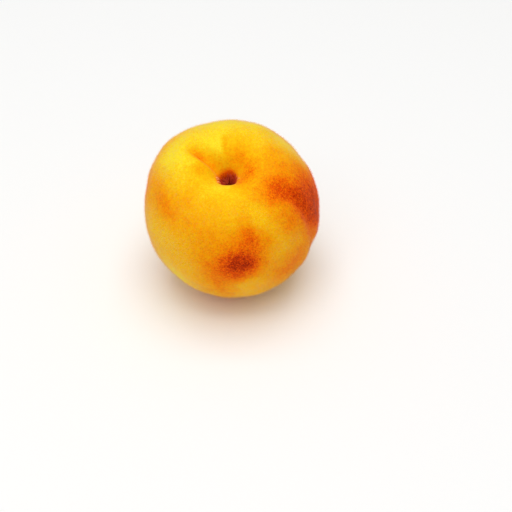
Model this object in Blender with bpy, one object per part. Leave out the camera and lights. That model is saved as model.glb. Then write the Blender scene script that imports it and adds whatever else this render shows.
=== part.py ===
"""A ripe yellow peach as picked, lying on a table on its own small flat spot.

The fruit is one solid: a plump body of revolution that is pressed and swollen by formulas
into its cheeks, its suture, the creased funnel at the stem end with the torn stem's socket
in it, and the dimple with its dry point at the far end.
"""

import math

import bmesh
import bpy
from mathutils import Matrix, Vector

MM = 0.001

# In the fruit's own frame +Z runs out of the stem end, and longitude 0 is on +X and 90 on +Y.
# Lengths are in millimetres. Angles are in degrees, and polar angles start at the stem end.

# Body
HALF_WIDTH = 34.6
HALF_HEIGHT = 34.2
FULLNESS = 2.18  # 2 is an ellipse, and more fills the shoulders out
TAPER = 0.030  # the stem end is this share wider than the middle, and the far end narrower
OVAL = 0.45  # the middle's radius along Y less its radius along X

# Funnel at the stem end, and the socket that the stem was pulled from
FUNNEL_DEPTH = 8.4
FUNNEL_RADIUS = 10.6
FUNNEL_FALL = 1.9  # how sharply the funnel ends at its rim
THROAT_DEPTH = 5.4
THROAT_RADIUS = 4.5
SOCKET_DEPTH = 2.8
SOCKET_MOUTH = 3.8
SOCKET_FLOOR = 1.2
SOCKET_SQUARE = 3.0  # the power of its outline on the side at longitude -90, where a circle has 2
SOCKET_FLAT = 1.07  # how much closer to the middle that side lies
FIBRES = 11  # torn fibres that stand out down the socket's wall
FIBRE_RELIEF = 0.30
FIBRE_TWIST = 1.7  # radians of a fibre's wave that it sways to each side
FIBRE_SWAY = 1.9  # radians of sway a millimetre
FIBRE_ENDS = (0.6, 1.6)  # radii between which they rise from the socket's floor

# Dimple at the far end, with the dry point of the flower in it
DIMPLE_DEPTH = 1.7
DIMPLE_RADIUS = 5.2
POINT_HEIGHT = 1.1
POINT_RADIUS = 0.9

# Suture: a groove with soft lips, from the funnel to the dimple
SUTURE = -24.0
SUTURE_DEPTH = 0.8
SUTURE_WIDTHS = (2.5, 4.4)
SUTURE_STARTS = (16.0, 34.0)
SUTURE_EASES = (55.0, 125.0)  # polar angles between which it widens and grows shallower
SUTURE_ENDS = (160.0, 175.0)
SUTURE_LOSS = 0.45  # the share of its depth that it loses where it eases
LIP_SHARE = 0.35  # a lip's height as a share of the groove's depth
LIP_AWAY = 1.7  # its distance and its half-width as shares of the groove's half-width
LIP_WIDTH = 1.05

# Crease in the funnel, across from the suture: steep on the side of the next cheek
CREASE = 147.0
CREASE_DEPTH = 3.1
CREASE_STARTS = (1.0, 6.0)
CREASE_ENDS = (18.0, 34.0)
CREASE_SIDES = (40.0, 90.0)  # it fades out between these longitudes on both sides of it
CREASE_STEEP = 1.4
CREASE_EASY = 4.2

# Cheeks and soft hollows: longitude and its half-width, polar angle and its half-width, height
SWELLINGS = (
    (142.0, 27.0, 66.0, 40.0, 2.1),
    (-51.0, 13.0, 50.0, 24.0, 0.75),
    (-82.0, 10.0, 48.0, 22.0, -0.45),
    (-125.0, 24.0, 55.0, 34.0, 0.5),
    (34.0, 24.0, 70.0, 34.0, -0.95),
    (102.0, 6.5, 21.0, 9.0, -0.7),
    (78.0, 15.0, 30.0, 16.0, 0.35),
    (-175.0, 17.0, 40.0, 22.0, 0.45),
    (-160.0, 17.0, 98.0, 30.0, 0.85),
    (168.0, 14.0, 23.0, 11.0, 0.7),
    (-92.0, 40.0, 8.5, 4.0, 0.55),
)

# How the fruit lies, and the slice that its weight flattens
TILT_FORWARD = 18.6
LEAN_LEFT = 4.9
REST_DEPTH = 0.55
SNAP = 0.05  # points this near the table lie on it

# Rings from the stem end to the far end: the polar angle where a band ends, and its rings
RING_BANDS = ((2.0, 1), (8.4, 9), (13.0, 4), (31.0, 10), (160.0, 23), (172.0, 3), (178.0, 4))
SPOKES = 84
CROWDING = 0.55  # how much closer the spokes stand by the suture and by the crease

SKIN_COLOUR = (0.87, 0.43, 0.04, 1.0)
SKIN_ROUGHNESS = 0.62
SHARP_EDGE = 50.0


def bell(offset, half_width):
    """1 at no offset, falling smoothly to nothing on both sides."""
    return math.exp(-((offset / half_width) ** 2))


def step(value, start, end):
    """0 at start and 1 at end, easing in and out. The end may be the smaller."""
    share = min(1.0, max(0.0, (value - start) / (end - start)))
    return share * share * (3.0 - 2.0 * share)


def turn(longitude, about):
    """The angle from one longitude to another the short way round."""
    return (longitude - about + 180.0) % 360.0 - 180.0


def body(polar):
    """Distance from the middle to the plain body."""
    across = math.sin(math.radians(polar)) / HALF_WIDTH
    along = abs(math.cos(math.radians(polar))) / HALF_HEIGHT
    return (across**FULLNESS + along**FULLNESS) ** (-1.0 / FULLNESS)


def swelling(polar, longitude):
    """Height of the cheeks over the plain body, less the soft hollows between them."""
    height = -OVAL / 2.0 * math.cos(math.radians(2.0 * longitude))
    height *= math.sin(math.radians(polar)) ** 2
    for about, wide, down, long, rise in SWELLINGS:
        height += rise * bell(turn(longitude, about), wide) * bell(polar - down, long)
    return height


def suture(polar, longitude, radius):
    """Depth of the suture, less its lips."""
    if abs(turn(longitude, SUTURE)) > 90.0:
        return 0.0
    away = math.radians(turn(longitude, SUTURE)) * radius
    depth = SUTURE_DEPTH * step(polar, *SUTURE_STARTS) * (1.0 - step(polar, *SUTURE_ENDS))
    eased = step(polar, *SUTURE_EASES)
    depth *= 1.0 - SUTURE_LOSS * eased
    width = SUTURE_WIDTHS[0] + (SUTURE_WIDTHS[1] - SUTURE_WIDTHS[0]) * eased
    lips = bell(abs(away) - LIP_AWAY * width, LIP_WIDTH * width)
    return depth * (bell(away, width) - LIP_SHARE * lips)


def crease(polar, longitude, radius):
    """Depth of the crease in the funnel."""
    away = math.radians(turn(longitude, CREASE)) * radius
    depth = CREASE_DEPTH * step(polar, *CREASE_STARTS) * (1.0 - step(polar, *CREASE_ENDS))
    depth *= 1.0 - step(abs(turn(longitude, CREASE)), *CREASE_SIDES)
    return depth * bell(away, CREASE_STEEP if away > 0.0 else CREASE_EASY)


def squared(radius, longitude):
    """The radius as the socket counts it, whose outline is squarer on one side."""
    across = abs(radius * math.cos(math.radians(longitude)))
    along = radius * math.sin(math.radians(longitude))
    if along > 0.0:
        return radius
    return (across**SOCKET_SQUARE + (-SOCKET_FLAT * along) ** SOCKET_SQUARE) ** (1.0 / SOCKET_SQUARE)


def funnel(radius, longitude):
    """Depth of the funnel, and of the socket in it with its fibres."""
    depth = FUNNEL_DEPTH * math.exp(-((radius / FUNNEL_RADIUS) ** FUNNEL_FALL))
    depth += THROAT_DEPTH * bell(squared(radius, longitude), THROAT_RADIUS)
    inside = step(squared(radius, longitude), SOCKET_MOUTH, SOCKET_FLOOR)
    sway = FIBRE_TWIST * math.sin(FIBRE_SWAY * radius)
    fibre = math.cos(math.radians(longitude) * FIBRES + sway) * step(radius, *FIBRE_ENDS)
    return depth + inside * (SOCKET_DEPTH + FIBRE_RELIEF * fibre)


def dimple(radius):
    """Depth of the dimple at the far end, less the dry point in it."""
    return DIMPLE_DEPTH * bell(radius, DIMPLE_RADIUS) - POINT_HEIGHT * bell(radius, POINT_RADIUS)


def skin_point(polar, longitude):
    """The skin's point at a polar angle and a longitude, in the fruit's own frame."""
    down = math.radians(polar)
    around = math.radians(longitude)
    plain = body(polar) * math.sin(down)
    reach = body(polar) + swelling(polar, longitude) - suture(polar, longitude, plain)
    height = reach * math.cos(down)
    radius = reach * math.sin(down) * (1.0 + TAPER * height / HALF_HEIGHT)
    if polar < 90.0:
        height -= funnel(plain, longitude) + crease(polar, longitude, plain)
    else:
        height += dimple(plain)
    return Vector((radius * math.cos(around), radius * math.sin(around), height))


def ring_angles():
    """Polar angles of the rings between the two ends."""
    angles, start = [], 0.0
    for end, rings in RING_BANDS:
        angles += [start + (end - start) * (i + 1) / rings for i in range(rings)]
        start = end
    return angles


def spoke_longitudes():
    """Longitudes round the fruit, closer together by the suture and by the crease."""
    pull = math.degrees(CROWDING) / 2.0
    evenly = [360.0 * i / SPOKES for i in range(SPOKES)]
    return [SUTURE + turned - pull * math.sin(math.radians(2.0 * turned)) for turned in evenly]


def fruit_mesh():
    """The closed skin in the fruit's own frame, in metres."""
    mesh = bmesh.new()
    longitudes = spoke_longitudes()
    rings = [
        [mesh.verts.new(skin_point(angle, longitude) * MM) for longitude in longitudes]
        for angle in ring_angles()
    ]
    stem_end = mesh.verts.new(skin_point(0.0, 0.0) * MM)
    far_end = mesh.verts.new(skin_point(180.0, 0.0) * MM)
    for i in range(SPOKES):
        j = (i + 1) % SPOKES
        mesh.faces.new((stem_end, rings[0][i], rings[0][j]))
        mesh.faces.new((far_end, rings[-1][j], rings[-1][i]))
        for upper, lower in zip(rings, rings[1:], strict=False):
            mesh.faces.new((upper[i], lower[i], lower[j], upper[j]))
    return mesh


def box_middle(mesh, axis):
    places = [v.co[axis] for v in mesh.verts]
    return (min(places) + max(places)) / 2.0


def lay_down(mesh):
    """Turns the fruit as it lies and centres it over the origin, its flat spot at height 0."""
    lie = Matrix.Rotation(math.radians(TILT_FORWARD), 4, "X")
    lie @= Matrix.Rotation(math.radians(-LEAN_LEFT), 4, "Y")
    bmesh.ops.transform(mesh, matrix=lie, verts=mesh.verts)
    table = min(v.co.z for v in mesh.verts) + REST_DEPTH * MM
    shift = Vector((-box_middle(mesh, 0), -box_middle(mesh, 1), -table))
    bmesh.ops.translate(mesh, vec=shift, verts=mesh.verts)
    for v in mesh.verts:
        if abs(v.co.z) < SNAP * MM:
            v.co.z = 0.0


def flatten_under(mesh):
    """Cuts off what would reach below the table and closes the skin with the flat spot."""
    cut = bmesh.ops.bisect_plane(
        mesh,
        geom=mesh.verts[:] + mesh.edges[:] + mesh.faces[:],
        dist=1e-6,
        plane_co=(0.0, 0.0, 0.0),
        plane_no=(0.0, 0.0, -1.0),
        clear_outer=True,
    )
    rim = [e for e in cut["geom_cut"] if isinstance(e, bmesh.types.BMEdge) and e.is_boundary]
    bmesh.ops.edgeloop_fill(mesh, edges=rim)
    bmesh.ops.recalc_face_normals(mesh, faces=mesh.faces)


def skin_material():
    material = bpy.data.materials.new("peach_skin")
    material.use_nodes = True
    shader = material.node_tree.nodes["Principled BSDF"]
    shader.inputs["Base Color"].default_value = SKIN_COLOUR
    shader.inputs["Roughness"].default_value = SKIN_ROUGHNESS
    shader.inputs["Metallic"].default_value = 0.0
    return material


def make_peach():
    mesh = fruit_mesh()
    lay_down(mesh)
    flatten_under(mesh)
    data = bpy.data.meshes.new("peach")
    mesh.to_mesh(data)
    mesh.free()
    data.shade_smooth()
    data.set_sharp_from_angle(angle=math.radians(SHARP_EDGE))
    data.materials.append(skin_material())
    peach = bpy.data.objects.new("peach", data)
    bpy.context.scene.collection.objects.link(peach)


def main():
    for old in list(bpy.data.objects):
        bpy.data.objects.remove(old)
    make_peach()


main()
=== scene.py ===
"""A ripe yellow peach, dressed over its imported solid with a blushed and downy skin.

The skin is drawn again, much finer, from the formulas that shape the solid. Its colour lies in
soft patches that procedural noise breaks up into mottling. Real down stands on it, and torn
fibres line the socket that the stem was pulled from.
"""

import math

import bpy
import numpy as np
from mathutils import Matrix, Vector


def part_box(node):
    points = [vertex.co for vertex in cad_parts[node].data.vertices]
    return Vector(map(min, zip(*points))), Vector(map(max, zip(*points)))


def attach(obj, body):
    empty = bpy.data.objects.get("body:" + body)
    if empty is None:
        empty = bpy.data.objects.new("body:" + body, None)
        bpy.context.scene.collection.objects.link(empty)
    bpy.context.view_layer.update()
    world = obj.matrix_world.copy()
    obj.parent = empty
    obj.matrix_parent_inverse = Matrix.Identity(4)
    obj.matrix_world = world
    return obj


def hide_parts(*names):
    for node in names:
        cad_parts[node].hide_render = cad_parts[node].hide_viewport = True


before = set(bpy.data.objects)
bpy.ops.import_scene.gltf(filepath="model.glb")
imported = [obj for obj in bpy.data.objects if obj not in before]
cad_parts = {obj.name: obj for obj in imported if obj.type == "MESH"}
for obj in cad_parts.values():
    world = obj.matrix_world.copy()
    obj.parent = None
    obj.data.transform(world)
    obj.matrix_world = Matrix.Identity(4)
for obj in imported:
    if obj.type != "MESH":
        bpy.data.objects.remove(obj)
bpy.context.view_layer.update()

MM = 0.001
SEED = 726

# In the fruit's own frame +Z runs out of the stem end, and longitude 0 is on +X and 90 on +Y.
# Lengths are in millimetres. Angles are in degrees, and polar angles start at the stem end.

# Body
HALF_WIDTH = 34.6
HALF_HEIGHT = 34.2
FULLNESS = 2.18  # the power of its outline, where an ellipse has 2
TAPER = 0.030  # the share by which it widens towards the stem end and narrows towards the other
OVAL = 0.45  # how much farther it reaches on Y than on X

# Funnel at the stem end, and the socket that the stem was pulled from
FUNNEL_DEPTH = 8.4
FUNNEL_RADIUS = 10.6
FUNNEL_FALL = 1.9
THROAT_DEPTH = 5.4
THROAT_RADIUS = 4.5
SOCKET_DEPTH = 2.8
SOCKET_MOUTH = 3.8
SOCKET_FLOOR = 1.2
SOCKET_SQUARE = 3.0  # the power of its outline on the side at longitude -90, where a circle has 2
SOCKET_FLAT = 1.07  # how much closer to the middle that side lies
FIBRES = 11  # ridges round the socket
FIBRE_RELIEF = 0.30
FIBRE_TWIST = 1.7  # how far they sway sideways, in radians of their own waves
FIBRE_SWAY = 1.9  # radians of that sway in a millimetre
FIBRE_ENDS = (0.6, 1.6)  # the radii between which they rise

# Dimple at the far end, with the dry point of the flower in it
DIMPLE_DEPTH = 1.7
DIMPLE_RADIUS = 5.2
POINT_HEIGHT = 1.1
POINT_RADIUS = 0.9

# Suture
SUTURE = -24.0
SUTURE_DEPTH = 0.8
SUTURE_WIDTHS = (2.5, 4.4)
SUTURE_STARTS = (16.0, 34.0)
SUTURE_EASES = (55.0, 125.0)
SUTURE_ENDS = (160.0, 175.0)
SUTURE_LOSS = 0.45
LIP_SHARE = 0.35
LIP_AWAY = 1.7
LIP_WIDTH = 1.05

# Crease in the funnel
CREASE = 147.0
CREASE_DEPTH = 3.1
CREASE_STARTS = (1.0, 6.0)
CREASE_ENDS = (18.0, 34.0)
CREASE_SIDES = (40.0, 90.0)
CREASE_STEEP = 1.4
CREASE_EASY = 4.2

# Cheeks and soft hollows: longitude and its half-width, polar angle and its half-width, height
SWELLINGS = (
    (142.0, 27.0, 66.0, 40.0, 2.1),
    (-51.0, 13.0, 50.0, 24.0, 0.75),
    (-82.0, 10.0, 48.0, 22.0, -0.45),
    (-125.0, 24.0, 55.0, 34.0, 0.5),
    (34.0, 24.0, 70.0, 34.0, -0.95),
    (102.0, 6.5, 21.0, 9.0, -0.7),
    (78.0, 15.0, 30.0, 16.0, 0.35),
    (-175.0, 17.0, 40.0, 22.0, 0.45),
    (-160.0, 17.0, 98.0, 30.0, 0.85),
    (168.0, 14.0, 23.0, 11.0, 0.7),
    (-92.0, 40.0, 8.5, 4.0, 0.55),
)

# How the fruit lies
TILT_FORWARD = 18.6
LEAN_LEFT = 4.9
REST_DEPTH = 0.55  # how much of its round underside the flat spot takes off

# The fine skin's mesh: where a band of rings ends, and its rings
RING_BANDS = ((2.0, 5), (8.4, 62), (13.0, 26), (31.0, 56), (160.0, 150), (172.0, 16), (178.6, 18))
SPOKES = 296
CROWDING = 0.40  # how strongly they crowd by the suture and by the crease

# Gentle unevenness of the skin: wavelength and height
RIPPLES = ((11.0, 0.10), (4.5, 0.035))
WAVES = 28

# Down: short hairs that stand nearly upright, in clumps that lean together
DOWN_HAIRS = 188000
DOWN_LENGTHS = (0.3, 1.05)
DOWN_WIDTH = 0.028
DOWN_ROOT = 0.05  # how deep its root sits
DOWN_SHORTER = (21.0, 10.0)  # radii between which hairs get shorter towards the socket
DOWN_SHORTEST = 0.08  # the share of its length that a hair keeps there
DOWN_LEAN = 0.32
DOWN_CLUMP = 3.6
DOWN_WAVES = 12
DOWN_CLEAR = 0.45  # no hair is rooted closer to the floor,
DOWN_SOCKET = 4.9  # nor closer to the middle of the stem end,
DOWN_POINT = 1.2  # nor to that of the far end
DOWN_ROUGHNESS = 0.7
DOWN_SPECULAR = 0.1
HAIR_FACES = ((0, 1, 3), (1, 2, 3), (2, 0, 3), (0, 2, 1))  # corner 3 is the tip
DOWN_TONES = ((246, 215, 150), (246, 210, 144), (244, 197, 124), (239, 167, 72), (238, 98, 12))
DOWN_MIX = 0.07  # how far hairs stray between those tones, which follow the blush

# Torn fibres in the socket: longitudes, the radii where they start and those where they end,
# half-thickness, how far they stand off the wall, and colour
STRANDS = {
    "torn_fibres": (range(0, 360, 6), (2.4, 3.6), (0.9, 1.9), (0.08, 0.20), 0.4, (206, 84, 52)),
    "pale_flecks": ((183, 196, 211, 346), (4.2, 4.6), (3.2, 3.7), (0.2, 0.34), 0.4, (255, 184, 108)),
}
STRAND_SPREAD = 3.0
STRAND_SWAY = 9.0
STRAND_TWISTS = (2.0, 6.0)
STRAND_LEAST = 0.3  # the least share of its distance that one stands off the wall
STRAND_ARCH = 0.8  # the share of a full arch that it makes over the wall
STRAND_ASIDE = (0.3, 0.5, 0.8)  # a direction that none runs in
STRAND_TAPER = 0.75
STRAND_STEPS = 9
STRAND_SIDES = 6
STRAND_ROUGHNESS = 0.8
STRAND_SPECULAR = 0.1

# Blush all over, and patches that add to it or, below 0, clear it: longitude, polar angle,
# half-widths across and down in degrees of arc, and strength
PLAIN_BLUSH = 0.17
BLUSH = (
    # Red cheek, its deep edge along the suture, and its start in the funnel
    (-4.0, 60.0, 22.0, 26.0, 0.56),
    (-20.0, 53.0, 9.0, 19.0, 0.64),
    (-10.0, 72.0, 14.0, 16.0, 0.73),
    (-31.0, 37.0, 5.0, 4.0, 0.12),
    (-27.0, 44.0, 5.0, 5.0, 0.10),
    (-14.0, 77.0, 8.0, 11.0, 0.14),
    (-41.0, 55.0, 6.0, 6.0, 0.22),
    (-32.0, 34.0, 10.0, 11.0, 0.51),
    (-44.0, 50.0, 6.0, 12.0, 0.12),
    (-50.0, 27.0, 7.0, 6.0, 0.12),
    (-12.0, 13.0, 12.0, 7.0, 0.42),
    (-42.0, 9.0, 3.0, 3.0, 0.18),
    (60.0, 13.0, 6.0, 6.0, 0.22),
    (24.0, 32.0, 7.0, 8.0, 0.12),
    (6.0, 23.0, 7.0, 6.0, 0.13),
    (6.0, 100.0, 26.0, 24.0, 0.50),
    (5.0, 31.0, 10.0, 8.0, 0.10),
    (-50.0, 31.0, 12.0, 8.0, 0.07),
    # Dark patch low in front, the streak that leads up from it, and its surroundings
    (-83.0, 66.0, 11.0, 11.5, 1.01),
    (-94.0, 69.0, 18.0, 22.0, 0.38),
    (-73.0, 51.0, 6.0, 13.0, 0.44),
    (-62.0, 54.0, 6.0, 7.0, 0.26),
    (-98.0, 92.0, 11.0, 16.0, 0.22),
    (-110.0, 60.0, 7.0, 8.0, 0.12),
    (-50.0, 88.0, 20.0, 20.0, 0.35),
    # Left cheek, the belt from it to the front, and its left edge
    (-158.0, 47.0, 13.0, 9.0, 0.28),
    (-142.0, 31.0, 7.0, 6.0, 0.14),
    (-125.0, 44.0, 30.0, 10.0, 0.19),
    (-177.0, 54.0, 12.0, 16.0, 0.12),
    (-108.0, 26.0, 8.0, 5.0, 0.09),
    (150.0, 57.0, 9.0, 6.0, 0.10),
    # Crease, whose orange along its fold is partly blush and partly painted shade, a mark beside it,
    # and a streak above the socket
    (147.0, 21.0, 3.2, 6.0, 0.40),
    (145.0, 12.0, 7.0, 6.0, 0.18),
    (140.0, 50.0, 9.0, 7.0, 0.12),
    (179.0, 17.0, 3.0, 3.0, 0.15),
    (92.0, 19.0, 2.0, 5.0, 0.16),
    (60.0, 9.0, 60.0, 4.0, 0.09),
    # Clear yellow: in the funnel, on the shoulder behind the crease, below the socket, low in
    # front, and between and beside the patches of the red cheek
    (113.0, 19.0, 6.0, 10.0, -0.20),
    (162.0, 36.0, 14.0, 15.0, -0.19),
    (92.0, 46.0, 50.0, 19.0, -0.13),
    (-96.0, 13.0, 9.0, 6.0, -0.15),
    (84.0, 44.0, 18.0, 14.0, -0.11),
    (20.0, 60.0, 18.0, 9.0, -0.24),
    (92.0, 48.0, 18.0, 8.0, -0.10),
    (42.0, 50.0, 18.0, 9.0, -0.14),
    (-150.0, 36.0, 40.0, 12.0, -0.04),
    (-84.0, 87.0, 12.0, 8.0, -0.20),
    (-132.0, 98.0, 10.0, 10.0, -0.22),
    (-38.0, 40.0, 7.0, 3.5, -0.11),
    (-16.0, 42.0, 6.0, 5.0, -0.10),
    (-20.0, 60.0, 4.0, 7.0, -0.17),
    (-54.0, 33.0, 7.0, 4.0, -0.10),
    (-125.0, 8.5, 50.0, 3.5, -0.13),
    (-60.0, 37.0, 8.0, 8.0, -0.06),
    # Back and underside
    (52.0, 86.0, 24.0, 28.0, 0.52),
    (84.0, 62.0, 12.0, 20.0, 0.22),
    (112.0, 104.0, 24.0, 20.0, 0.24),
    (-176.0, 106.0, 18.0, 18.0, 0.22),
    (170.0, 70.0, 14.0, 20.0, 0.20),
    (-108.0, 132.0, 22.0, 14.0, 0.24),
)

# Mottling: spots a millimetre, detail, and the span of its shifts of the blush, with the shares
# of that span at no blush and at full
MOTTLING =((0.13, 3.0, 0.30), (0.55, 3.0, 0.32), (1.3, 2.0, 0.42), (2.4, 1.0, 0.50))
MOTTLING_SHARES = (0.5, 1.45)
NOISE_ROUGHNESS = 0.55

# Speckles of shade: spots a millimetre and detail, with the span of the light that they take or
# give at no blush and at full
SPECKLES = (1.35, 2.0)
SPECKLE_SHARES = (0.28, 0.92)

# Colours as seen in plain daylight, from the ground colour to the deepest blush
SKIN_TONES = (
    (0.00, (255, 228, 42)),
    (0.15, (255, 199, 12)),
    (0.30, (255, 178, 4)),
    (0.45, (254, 152, 2)),
    (0.60, (248, 120, 2)),
    (0.75, (230, 84, 3)),
    (0.88, (206, 60, 3)),
    (1.00, (154, 34, 4)),
)

# The socket's wall from its mouth to its floor: its own orange and red-brown, with painted shade
# deepening it towards the floor
SOCKET_TONES_AND_SHADE = (
    (0.00, (254, 142, 4)),
    (0.30, (242, 118, 6)),
    (0.60, (200, 74, 8)),
    (1.00, (126, 24, 5)),
)
SOCKET_BLUSH = 5.0  # the radius where the skin's colour starts to turn into the wall's
SOCKET_TURN = 3.0  # how many times faster it turns than the wall darkens
SOCKET_MIDDLE = (-0.5, 0.2)  # where the wall's colour is centred
SOCKET_STREAKS = (1.6, 3.0, 0.8)  # spots a millimetre, detail, and the span of their shifts of it
POINT_TONE = (96, 60, 30)  # the flower's dry point at the far end

# The skin's own grain: spots a millimetre and detail, and its bump, whose height is in metres
GRAIN = (3.2, 3.0)
GRAIN_STRENGTH = 0.35
GRAIN_HEIGHT = 0.00008

# How the skin takes light: its gloss, the share that scatters below it, how far that goes in red,
# green and blue, times a scale in metres, and the frosty sheen
SKIN_ROUGHNESS = 0.6
SKIN_SPECULAR = 0.03
SCATTER = 0.18
SCATTER_RADIUS = (1.0, 0.42, 0.14)
SCATTER_SCALE = 0.0016
SHEEN = 0.2
SHEEN_ROUGHNESS = 0.35
SHEEN_TONE = (175, 170, 158)

# The photo's frame and camera. The fruit's middle is seen at AIM, in pixels from the top left.
FRAME_SIZE = 512.0
AIM = (232.0, 210.6)
ELEVATION = 40.0
LENS_MM = 60.0
SENSOR_MM = 36.0
DISTANCE = 0.3455

# Studio
FLOOR_SIZE = 8.0
FLOOR_TONE = (253, 253, 252)
FLOOR_ROUGHNESS = 0.85
FLOOR_SPECULAR = 0.2
SKY_STRENGTH = 0.35
SOFTBOX_SIZE = 1.6
SOFTBOXES = (((0.0, 0.0, 2.0), 22.5), ((-0.36, -1.0, 1.7), 10.5))  # their places and watts


# Shape, in the fruit's own frame


def bell(offset, half_width):
    """1 at no offset, falling smoothly to nothing on both sides."""
    return np.exp(-((offset / half_width) ** 2))


def step(value, start, end):
    """0 at start and 1 at end, easing in and out. The end may be the smaller."""
    share = np.clip((value - start) / (end - start), 0.0, 1.0)
    return share * share * (3.0 - 2.0 * share)


def turn(longitude, about):
    """The angle from one longitude to another the short way round."""
    return (longitude - about + 180.0) % 360.0 - 180.0


def body(polar):
    """Distance from the middle to the plain body."""
    across = np.sin(np.radians(polar)) / HALF_WIDTH
    along = np.abs(np.cos(np.radians(polar))) / HALF_HEIGHT
    return (across**FULLNESS + along**FULLNESS) ** (-1.0 / FULLNESS)


def plain_radius(polar):
    """Distance from the fruit's axis to the plain body."""
    return body(polar) * np.sin(np.radians(polar))


def swelling(polar, longitude):
    """Height of the cheeks over the plain body, less the soft hollows between them."""
    height = -OVAL / 2.0 * np.cos(np.radians(2.0 * longitude))
    height = height * np.sin(np.radians(polar)) ** 2
    for about, wide, down, long, rise in SWELLINGS:
        height = height + rise * bell(turn(longitude, about), wide) * bell(polar - down, long)
    return height


def suture(polar, longitude, radius):
    """Depth of the suture, less its lips."""
    away = np.radians(turn(longitude, SUTURE)) * radius
    depth = SUTURE_DEPTH * step(polar, *SUTURE_STARTS) * (1.0 - step(polar, *SUTURE_ENDS))
    eased = step(polar, *SUTURE_EASES)
    depth = depth * (1.0 - SUTURE_LOSS * eased) * (np.abs(turn(longitude, SUTURE)) <= 90.0)
    width = SUTURE_WIDTHS[0] + (SUTURE_WIDTHS[1] - SUTURE_WIDTHS[0]) * eased
    lips = bell(np.abs(away) - LIP_AWAY * width, LIP_WIDTH * width)
    return depth * (bell(away, width) - LIP_SHARE * lips)


def crease(polar, longitude, radius):
    """Depth of the crease in the funnel: steep on the side of the next cheek."""
    away = np.radians(turn(longitude, CREASE)) * radius
    depth = CREASE_DEPTH * step(polar, *CREASE_STARTS) * (1.0 - step(polar, *CREASE_ENDS))
    depth = depth * (1.0 - step(np.abs(turn(longitude, CREASE)), *CREASE_SIDES))
    return depth * bell(away, np.where(away > 0.0, CREASE_STEEP, CREASE_EASY))


def squared(radius, longitude):
    """The radius as the socket counts it, whose outline is squarer on one side."""
    across = np.abs(radius * np.cos(np.radians(longitude)))
    along = SOCKET_FLAT * np.maximum(-radius * np.sin(np.radians(longitude)), 0.0)
    square = (across**SOCKET_SQUARE + along**SOCKET_SQUARE) ** (1.0 / SOCKET_SQUARE)
    return np.where(along > 0.0, square, radius)


def funnel(radius, longitude):
    """Depth of the funnel, and of the socket in it with its fibres."""
    depth = FUNNEL_DEPTH * np.exp(-((radius / FUNNEL_RADIUS) ** FUNNEL_FALL))
    depth = depth + THROAT_DEPTH * bell(squared(radius, longitude), THROAT_RADIUS)
    inside = step(squared(radius, longitude), SOCKET_MOUTH, SOCKET_FLOOR)
    sway = FIBRE_TWIST * np.sin(FIBRE_SWAY * radius)
    fibre = np.cos(np.radians(longitude) * FIBRES + sway) * step(radius, *FIBRE_ENDS)
    return depth + inside * (SOCKET_DEPTH + FIBRE_RELIEF * fibre)


def dimple(radius):
    """Depth of the dimple at the far end, less the dry point in it."""
    return DIMPLE_DEPTH * bell(radius, DIMPLE_RADIUS) - POINT_HEIGHT * bell(radius, POINT_RADIUS)


def fruit_points(polar, longitude):
    """The solid's points at polar angles and longitudes, in the fruit's own frame."""
    down = np.radians(polar)
    around = np.radians(longitude)
    plain = plain_radius(polar)
    reach = body(polar) + swelling(polar, longitude) - suture(polar, longitude, plain)
    height = reach * np.cos(down)
    radius = reach * np.sin(down) * (1.0 + TAPER * height / HALF_HEIGHT)
    hollow = funnel(plain, longitude) + crease(polar, longitude, plain)
    height = height + np.where(polar < 90.0, -hollow, dimple(plain))
    return np.stack((radius * np.cos(around), radius * np.sin(around), height), axis=-1)


# Skin, which adds a gentle unevenness to that shape


def ripple_waves(rng):
    """For each ripple, plane waves in random directions, their phases and its height."""
    sets = []
    for wavelength, height in RIPPLES:
        ways = rng.normal(size=(WAVES, 3))
        ways *= 2.0 * math.pi / wavelength / np.linalg.norm(ways, axis=1)[:, None]
        sets.append((ways, rng.uniform(0.0, 2.0 * math.pi, WAVES), height))
    return sets


def skin_points(polar, longitude, waves):
    """The skin's points at polar angles and longitudes, in the fruit's own frame."""
    points = fruit_points(polar, longitude)
    outward = points / np.linalg.norm(points, axis=-1)[..., None]
    calm = step(plain_radius(polar), SOCKET_MOUTH, 2.0 * SOCKET_MOUTH)
    calm = np.where(polar < 90.0, calm, 1.0)
    rise = 0.0
    for ways, phases, height in waves:
        wave = np.sin(points @ ways.T + phases).sum(axis=-1) / math.sqrt(WAVES / 2.0)
        rise = rise + height * calm * wave
    return points + outward * rise[..., None]


def skin_directions(polar, longitude, waves):
    """The skin's points, and there its directions outward, down and along."""
    nudge = 0.05
    here = skin_points(polar, longitude, waves)
    down = skin_points(polar + nudge, longitude, waves) - here
    along = skin_points(polar, longitude + nudge / np.sin(np.radians(polar)), waves) - here
    down, along = unit(down), unit(along)
    return here, unit(np.cross(down, along)), down, along


def unit(vectors):
    """The vectors' directions, each of length 1."""
    return vectors / np.linalg.norm(vectors, axis=-1)[..., None]


def ring_angles():
    """Polar angles of the rings between the two ends."""
    angles, start = [], 0.0
    for end, rings in RING_BANDS:
        angles += [start + (end - start) * (i + 1) / rings for i in range(rings)]
        start = end
    return np.array(angles)


def spoke_longitudes():
    """Longitudes round the fruit, closer together by the suture and by the crease."""
    evenly = np.arange(SPOKES) * 360.0 / SPOKES
    return SUTURE + evenly - math.degrees(CROWDING) / 2.0 * np.sin(np.radians(2.0 * evenly))


def skin_faces(rings):
    """The quads between rings, and the triangles round both ends, as vertex numbers."""
    here = np.arange(SPOKES)
    after = (here + 1) % SPOKES
    upper = np.arange(rings - 1)[:, None] * SPOKES
    lower = upper + SPOKES
    quads = np.stack((upper + here, lower + here, lower + after, upper + after), axis=-1)
    stem_end, far_end = rings * SPOKES, rings * SPOKES + 1
    last = (rings - 1) * SPOKES
    faces = quads.reshape(-1, 4).tolist()
    faces += [(stem_end, i, j) for i, j in zip(here.tolist(), after.tolist())]
    faces += [(far_end, last + j, last + i) for i, j in zip(here.tolist(), after.tolist())]
    return faces


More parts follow.
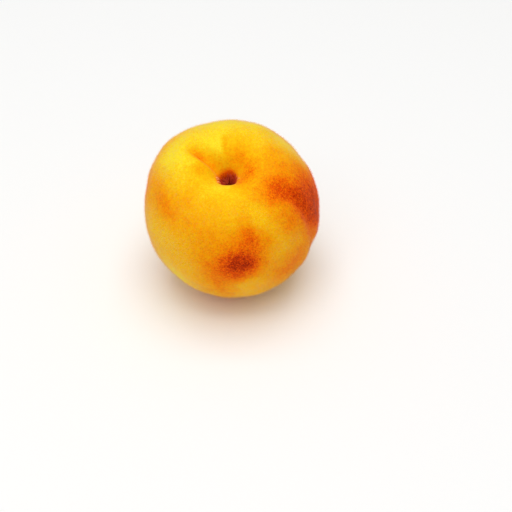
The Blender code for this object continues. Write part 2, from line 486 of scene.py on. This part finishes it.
def lie_matrix():
    """The turn from the fruit's own frame to how it lies."""
    lie = Matrix.Rotation(math.radians(TILT_FORWARD), 3, "X")
    lie @= Matrix.Rotation(math.radians(-LEAN_LEFT), 3, "Y")
    return np.array(lie)


def settle(points):
    """The shift in metres that sets the fruit on the floor, centred as its solid is."""
    turned = points @ lie_matrix().T * MM
    low, high = turned.min(axis=0), turned.max(axis=0)
    solid_low, solid_high = (np.array(corner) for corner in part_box("peach"))
    shift = (solid_low + solid_high - low - high) / 2.0
    shift[2] = -low[2] - REST_DEPTH * MM
    return shift


def laid_down(points, shift):
    """Points in metres as the fruit lies."""
    return points @ lie_matrix().T * MM + shift


def blush_at(polar, longitude):
    """How far the skin is blushed, from 0 to 1, before its mottling."""
    bare = np.full_like(polar, 1.0 - PLAIN_BLUSH)
    for about, down, wide, long, strength in BLUSH:
        across = turn(longitude, about) * math.sin(math.radians(down))
        bare = bare * (1.0 - strength * bell(across, wide) * bell(polar - down, long))
    return 1.0 - bare


# Pieces


def store(data, name, values, kind="FLOAT"):
    """Keeps a value for each vertex in the mesh."""
    attribute = data.attributes.new(name, kind, "POINT")
    field = "value" if kind == "FLOAT" else "vector"
    attribute.data.foreach_set(field, np.asarray(values, np.float32).ravel())


def make_piece(name, points, faces, material):
    data = bpy.data.meshes.new(name)
    data.from_pydata(points, [], faces)
    data.materials.append(material)
    piece = bpy.data.objects.new(name, data)
    bpy.context.scene.collection.objects.link(piece)
    return piece


def skin_grid():
    """Polar angles and longitudes of the fine skin's vertices, and how many rings it has."""
    polar, longitude = np.meshgrid(ring_angles(), spoke_longitudes(), indexing="ij")
    rings = len(polar)
    return np.append(polar.ravel(), (0.0, 180.0)), np.append(longitude.ravel(), (0.0, 0.0)), rings


def make_skin(waves):
    """The fine skin with what its colour needs at each vertex, and the shift that lays it down."""
    polar, longitude, rings = skin_grid()
    points = skin_points(polar, longitude, waves)
    shift = settle(points)
    placed = laid_down(points, shift)
    placed[:, 2] = np.maximum(placed[:, 2], 0.0)
    skin = make_piece("peach_skin", placed, skin_faces(rings), skin_material())
    radius = plain_radius(polar)
    # Nearness to the socket's floor, which sets its wall's colour and its painted shade
    across = radius * np.cos(np.radians(longitude)) - SOCKET_MIDDLE[0]
    along = radius * np.sin(np.radians(longitude)) - SOCKET_MIDDLE[1]
    inward = step(np.hypot(across, along), SOCKET_BLUSH, SOCKET_FLOOR)
    store(skin.data, "fruit", points, "FLOAT_VECTOR")
    store(skin.data, "blush", blush_at(polar, longitude))
    store(skin.data, "socket", np.where(polar < 90.0, inward, 0.0))
    store(skin.data, "point", np.where(polar > 90.0, bell(radius, POINT_RADIUS), 0.0))
    skin.data.shade_smooth()
    return skin, shift


def down_roots(rng):
    """Random polar angles and longitudes, evenly over the fruit, where down may grow."""
    polar = np.degrees(np.arccos(rng.uniform(-1.0, 1.0, DOWN_HAIRS)))
    longitude = rng.uniform(-180.0, 180.0, DOWN_HAIRS)
    least = np.where(polar < 90.0, DOWN_SOCKET, DOWN_POINT)
    grows = plain_radius(polar) > least
    return polar[grows], longitude[grows]


def hair_ways(here, outward, down, along, rng):
    """Which way each hair points: a lean that its clump shares, and one of its own."""
    crests = rng.normal(size=(2 * DOWN_WAVES, 3)) * 2.0 * math.pi / DOWN_CLUMP
    phases = rng.uniform(0.0, 2.0 * math.pi, 2 * DOWN_WAVES)
    shared = np.sin(here @ crests.T + phases).reshape(-1, 2, DOWN_WAVES).sum(axis=2)
    shared /= math.sqrt(DOWN_WAVES / 2.0)
    lean = DOWN_LEAN * (shared + rng.normal(size=shared.shape)) / math.sqrt(2.0)
    return unit(outward + lean[:, :1] * down + lean[:, 1:] * along)


def hair_points(roots, ways, along, lengths, rng):
    """Four corners of each hair: three round its root and the tip."""
    side = unit(np.cross(ways, along))
    other = np.cross(ways, side)
    start = roots - ways * DOWN_ROOT
    spin = rng.uniform(0.0, 2.0 * math.pi, len(roots))
    corners = []
    for third in range(3):
        angle = (spin + third * 2.0 * math.pi / 3.0)[:, None]
        corners.append(start + (np.cos(angle) * side + np.sin(angle) * other) * DOWN_WIDTH / 2.0)
    corners.append(roots + ways * lengths[:, None])
    return np.stack(corners, axis=1)


def make_down(waves, shift, rng):
    """The hairs in pieces of one colour each, from the least blushed skin to the most."""
    polar, longitude = down_roots(rng)
    here, outward, down, along = skin_directions(polar, longitude, waves)
    ways = hair_ways(here, outward, down, along, rng)
    lengths = rng.uniform(*DOWN_LENGTHS, len(here))
    near = step(plain_radius(polar), *DOWN_SHORTER) * (polar < 90.0)
    lengths = lengths * (1.0 - near * (1.0 - DOWN_SHORTEST))
    points = hair_points(here, ways, along, lengths, rng)
    clear = laid_down(here, shift)[:, 2] > DOWN_CLEAR * MM
    level = blush_at(polar, longitude) + rng.normal(0.0, DOWN_MIX, len(here))
    order = np.argsort(level[clear])
    pieces = []
    for number, chosen in enumerate(np.array_split(order, len(DOWN_TONES))):
        corners = laid_down(points[clear][chosen].reshape(-1, 3), shift)
        corners[:, 2] = np.maximum(corners[:, 2], 0.0)
        first = np.arange(len(chosen))[:, None, None] * points.shape[1]
        faces = (first + np.array(HAIR_FACES)).reshape(-1, 3)
        name = "down_" + str(number + 1)
        material = plain_material(name, DOWN_TONES[number], DOWN_ROUGHNESS, DOWN_SPECULAR)
        pieces.append(make_piece(name, corners, faces, material))
    return pieces


def strand_line(longitude, start, end, lift, waves, rng):
    """A strand's points down the socket's wall, standing a little off it."""
    share = np.linspace(0.0, 1.0, STRAND_STEPS)
    radius = start + (end - start) * share
    polar = np.degrees(np.arcsin(radius / HALF_HEIGHT))
    sway = STRAND_SWAY * rng.uniform(-1.0, 1.0) * np.sin(share * rng.uniform(*STRAND_TWISTS))
    around = longitude + sway / radius
    here, outward, _, _ = skin_directions(polar, around, waves)
    return here + outward * (lift * np.sin(share * math.pi * STRAND_ARCH))[:, None]


def strand_tube(line, thickness, first):
    """A closed tapering tube along a line, with its faces numbered from first."""
    ways = unit(np.gradient(line, axis=0))
    side = unit(np.cross(ways, STRAND_ASIDE))
    other = np.cross(ways, side)
    share = np.linspace(0.0, 1.0, len(line))
    girth = thickness * (1.0 - STRAND_TAPER * share**2)
    angles = (np.arange(STRAND_SIDES) * 2.0 * math.pi / STRAND_SIDES)[None, :, None]
    ring = np.cos(angles) * side[:, None] + np.sin(angles) * other[:, None]
    points = line[:, None] + ring * girth[:, None, None]
    here = np.arange(STRAND_SIDES)
    after = (here + 1) % STRAND_SIDES
    faces = []
    for row in range(len(line) - 1):
        upper, lower = first + row * STRAND_SIDES, first + (row + 1) * STRAND_SIDES
        faces += [(upper + i, lower + i, lower + j, upper + j) for i, j in zip(here, after)]
    last = first + (len(line) - 1) * STRAND_SIDES
    faces.append(tuple(first + here))
    faces.append(tuple(last + here[::-1]))
    return points.reshape(-1, 3), faces


def make_strands(name, waves, shift, rng):
    """One piece of torn fibres, of one colour."""
    longitudes, starts, ends, girths, most, tone = STRANDS[name]
    points, faces, count = [], [], 0
    for longitude in longitudes:
        start, end = rng.uniform(*starts), rng.uniform(*ends)
        lift = most * rng.uniform(STRAND_LEAST, 1.0)
        turned = longitude + rng.uniform(-STRAND_SPREAD, STRAND_SPREAD)
        line = strand_line(turned, start, end, lift, waves, rng)
        tube, sides = strand_tube(line, rng.uniform(*girths), count)
        points.append(tube)
        faces += sides
        count += len(tube)
    material = plain_material(name, tone, STRAND_ROUGHNESS, STRAND_SPECULAR)
    strands = make_piece(name, laid_down(np.concatenate(points), shift), faces, material)
    strands.data.shade_smooth()
    return strands


# Materials


def linear(tone):
    """A colour of 0 to 255 as a picture holds it, as the light that it stands for."""
    shares = np.array(tone) / 255.0
    light = np.where(shares <= 0.04045, shares / 12.92, ((shares + 0.055) / 1.055) ** 2.4)
    return (*light.tolist(), 1.0)


class Nodes:
    """Adds nodes to a new material, joins them and sets their values."""

    def __init__(self, name):
        self.material = bpy.data.materials.new(name)
        self.material.use_nodes = True
        self.tree = self.material.node_tree
        self.shader = self.tree.nodes["Principled BSDF"]

    def put(self, node, values):
        for key, value in values.items():
            if isinstance(value, bpy.types.NodeSocket):
                self.tree.links.new(value, node.inputs[key])
            else:
                node.inputs[key].default_value = value
        return node

    def add(self, kind, values, **settings):
        node = self.tree.nodes.new(kind)
        for key, value in settings.items():
            setattr(node, key, value)
        return self.put(node, values)

    def math(self, operation, first, second, clamp=False):
        values = {0: first, 1: second}
        return self.add("ShaderNodeMath", values, operation=operation, use_clamp=clamp).outputs[0]

    def mixed(self, share, first, second):
        node = self.add("ShaderNodeMix", {}, data_type="RGBA")
        self.put(node, {0: share, 6: first, 7: second})
        return node.outputs[2]

    def attribute(self, name):
        return self.add("ShaderNodeAttribute", {}, attribute_name=name)

    def noise(self, place, scale, detail):
        values = {"Vector": place, "Scale": scale, "Detail": detail, "Roughness": NOISE_ROUGHNESS}
        return self.add("ShaderNodeTexNoise", values).outputs["Fac"]

    def ramp(self, share, stops):
        node = self.add("ShaderNodeValToRGB", {"Fac": share})
        steps = node.color_ramp.elements
        while len(steps) < len(stops):
            steps.new(1.0)
        for element, (place, tone) in zip(steps, stops):
            element.position = place
            element.color = linear(tone)
        return node.outputs["Color"]


def swing(nodes, place, scale, detail, reach):
    """Noise about 0 with this reach from its lowest to its highest."""
    offset = nodes.math("SUBTRACT", nodes.noise(place, scale, detail), 0.5)
    return nodes.math("MULTIPLY", offset, reach)


def growing(nodes, blush, shares):
    """A share that grows with the blush, from its first value to its second."""
    return nodes.math("ADD", nodes.math("MULTIPLY", blush, shares[1] - shares[0]), shares[0])


def mottled(nodes, place, blush):
    """The blush shifted up and down by noise of several sizes."""
    share = growing(nodes, blush, MOTTLING_SHARES)
    shifted = blush
    for scale, detail, reach in MOTTLING:
        offset = nodes.math("MULTIPLY", swing(nodes, place, scale, detail, reach), share)
        shifted = nodes.math("ADD", shifted, offset)
    return shifted


def speckled(nodes, place, blush, tone):
    """The colour with fine darker and lighter speckles."""
    share = growing(nodes, blush, SPECKLE_SHARES)
    light = nodes.math("ADD", swing(nodes, place, *SPECKLES, share), 1.0)
    values = {0: tone, "Scale": light}
    return nodes.add("ShaderNodeVectorMath", values, operation="SCALE").outputs[0]


def skin_material():
    """The blush turned into colour, with the socket's wall, darkened by painted shade towards its
    floor, and the dry point over it.
    """
    nodes = Nodes("peach_skin")
    place = nodes.attribute("fruit").outputs["Vector"]
    blush = nodes.attribute("blush").outputs["Fac"]
    socket = nodes.attribute("socket").outputs["Fac"]
    point = nodes.attribute("point").outputs["Fac"]
    tone = nodes.ramp(mottled(nodes, place, blush), SKIN_TONES)
    streaks = swing(nodes, place, *SOCKET_STREAKS)
    # The socket's wall: its own colour, darkened by painted shade towards its floor
    wall = nodes.ramp(nodes.math("ADD", socket, streaks), SOCKET_TONES_AND_SHADE)
    share = nodes.math("MULTIPLY", socket, SOCKET_TURN, clamp=True)
    tone = nodes.mixed(share, tone, wall)
    tone = nodes.mixed(point, tone, linear(POINT_TONE))
    tone = speckled(nodes, place, blush, tone)
    grain = nodes.noise(place, *GRAIN)
    values = {"Height": grain, "Strength": GRAIN_STRENGTH, "Distance": GRAIN_HEIGHT}
    bump = nodes.add("ShaderNodeBump", values)
    values = {
        "Base Color": tone,
        "Roughness": SKIN_ROUGHNESS,
        "Specular IOR Level": SKIN_SPECULAR,
        "Subsurface Weight": SCATTER,
        "Subsurface Radius": SCATTER_RADIUS,
        "Subsurface Scale": SCATTER_SCALE,
        "Sheen Weight": SHEEN,
        "Sheen Roughness": SHEEN_ROUGHNESS,
        "Sheen Tint": linear(SHEEN_TONE),
        "Normal": bump.outputs["Normal"],
    }
    nodes.put(nodes.shader, values)
    return nodes.material


def plain_material(name, tone, roughness, specular):
    nodes = Nodes(name)
    values = {"Base Color": linear(tone), "Roughness": roughness, "Specular IOR Level": specular}
    nodes.put(nodes.shader, values)
    return nodes.material


# Studio


def make_floor():
    half = FLOOR_SIZE / 2.0
    corners = [(-half, -half, 0.0), (half, -half, 0.0), (half, half, 0.0), (-half, half, 0.0)]
    material = plain_material("floor", FLOOR_TONE, FLOOR_ROUGHNESS, FLOOR_SPECULAR)
    make_piece("floor", corners, [(0, 1, 2, 3)], material)


def make_light():
    world = bpy.data.worlds.new("studio")
    world.use_nodes = True
    sky = world.node_tree.nodes["Background"]
    sky.inputs["Color"].default_value = (1.0, 1.0, 1.0, 1.0)
    sky.inputs["Strength"].default_value = SKY_STRENGTH
    bpy.context.scene.world = world
    for place, watts in SOFTBOXES:
        lamp = bpy.data.lights.new("softbox", "AREA")
        lamp.shape = "SQUARE"
        lamp.size = SOFTBOX_SIZE
        lamp.energy = watts
        softbox = bpy.data.objects.new("softbox", lamp)
        softbox.location = place
        softbox.rotation_mode = "QUATERNION"
        softbox.rotation_quaternion = softbox.location.to_track_quat("Z", "Y")
        bpy.context.scene.collection.objects.link(softbox)


def make_camera():
    """The camera looks down on the fruit, turned so that its middle is seen at AIM."""
    low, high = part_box("peach")
    tilt = math.radians(ELEVATION)
    back = Vector((0.0, -math.cos(tilt), math.sin(tilt)))
    focal = LENS_MM / SENSOR_MM * FRAME_SIZE
    half = FRAME_SIZE / 2.0
    sight = Vector((AIM[0] - half, half - AIM[1], -focal)).normalized()
    data = bpy.data.cameras.new("camera")
    data.lens = LENS_MM
    data.sensor_width = SENSOR_MM
    camera = bpy.data.objects.new("camera", data)
    camera.location = (low + high) / 2.0 + back * DISTANCE
    camera.rotation_mode = "QUATERNION"
    straight = (-back).to_track_quat("-Z", "Y")
    camera.rotation_quaternion = straight @ sight.rotation_difference(Vector((0.0, 0.0, -1.0)))
    bpy.context.scene.collection.objects.link(camera)
    bpy.context.scene.camera = camera


bpy.context.scene.view_settings.view_transform = "Standard"
make_camera()
make_light()
make_floor()

rng = np.random.default_rng(SEED)
waves = ripple_waves(rng)
skin, shift = make_skin(waves)
pieces = [skin, *make_down(waves, shift, rng)]
for name in STRANDS:
    pieces.append(make_strands(name, waves, shift, rng))
for piece in pieces:
    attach(piece, "root")
    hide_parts("peach")
